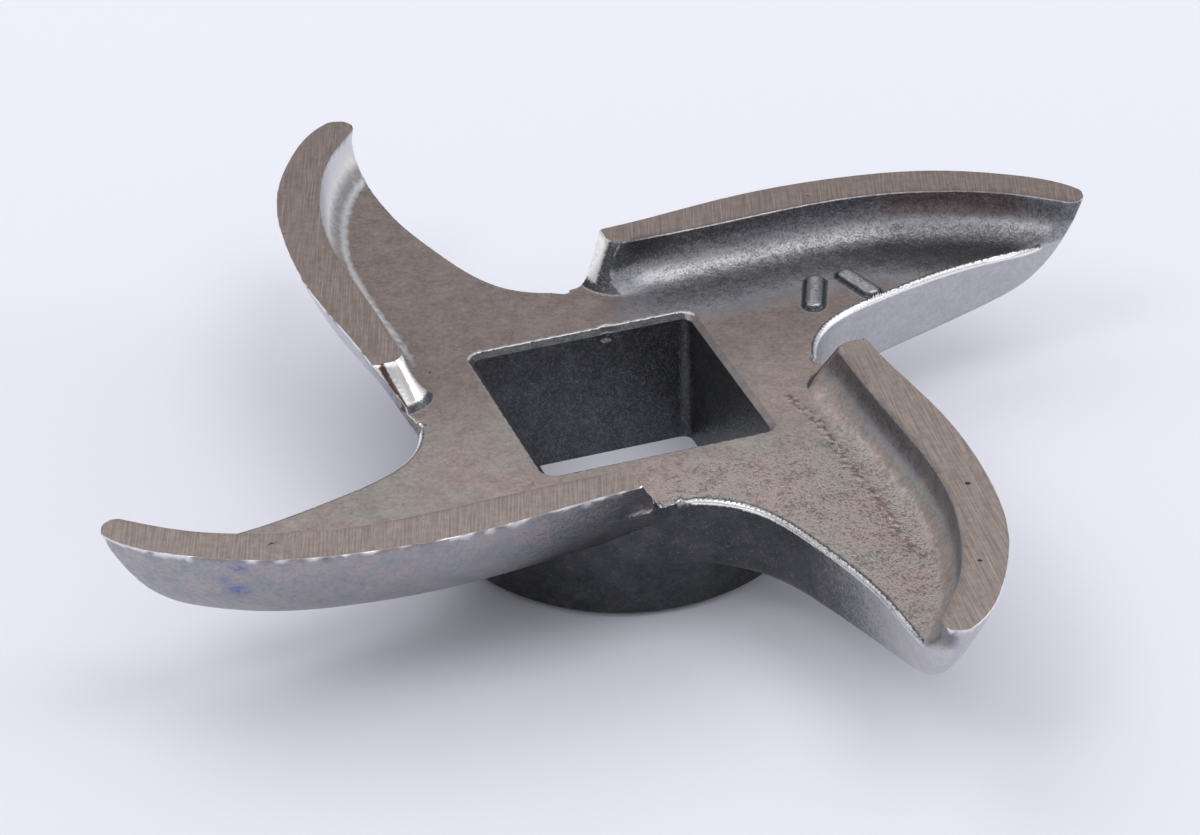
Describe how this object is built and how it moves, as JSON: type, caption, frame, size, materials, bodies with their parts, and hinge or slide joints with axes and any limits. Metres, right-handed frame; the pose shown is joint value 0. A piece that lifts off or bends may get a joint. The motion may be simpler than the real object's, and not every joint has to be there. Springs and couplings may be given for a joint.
{
  "type": "meat grinder knife",
  "caption": "Sickle-armed cast knife of a meat grinder: raised cutting ribs with ground lands, rounded hollows behind them and a square drive hole through a drafted hub.",
  "frame": {"origin": "centre of the square drive hole at the hub's foot face, the lowest face of the part", "axes": "+Z along the drive hole towards the cutting lands; +X from the hole's centre towards the tip of one arm, square to one side of the hole"},
  "size_m": [0.061, 0.061, 0.0105],
  "materials": {
    "cast_steel": "cast and tumbled steel, cutting lands surface-ground"
  },
  "bodies": {
    "root": {"grinder_knife": "cast_steel"}
  },
  "joints": []
}
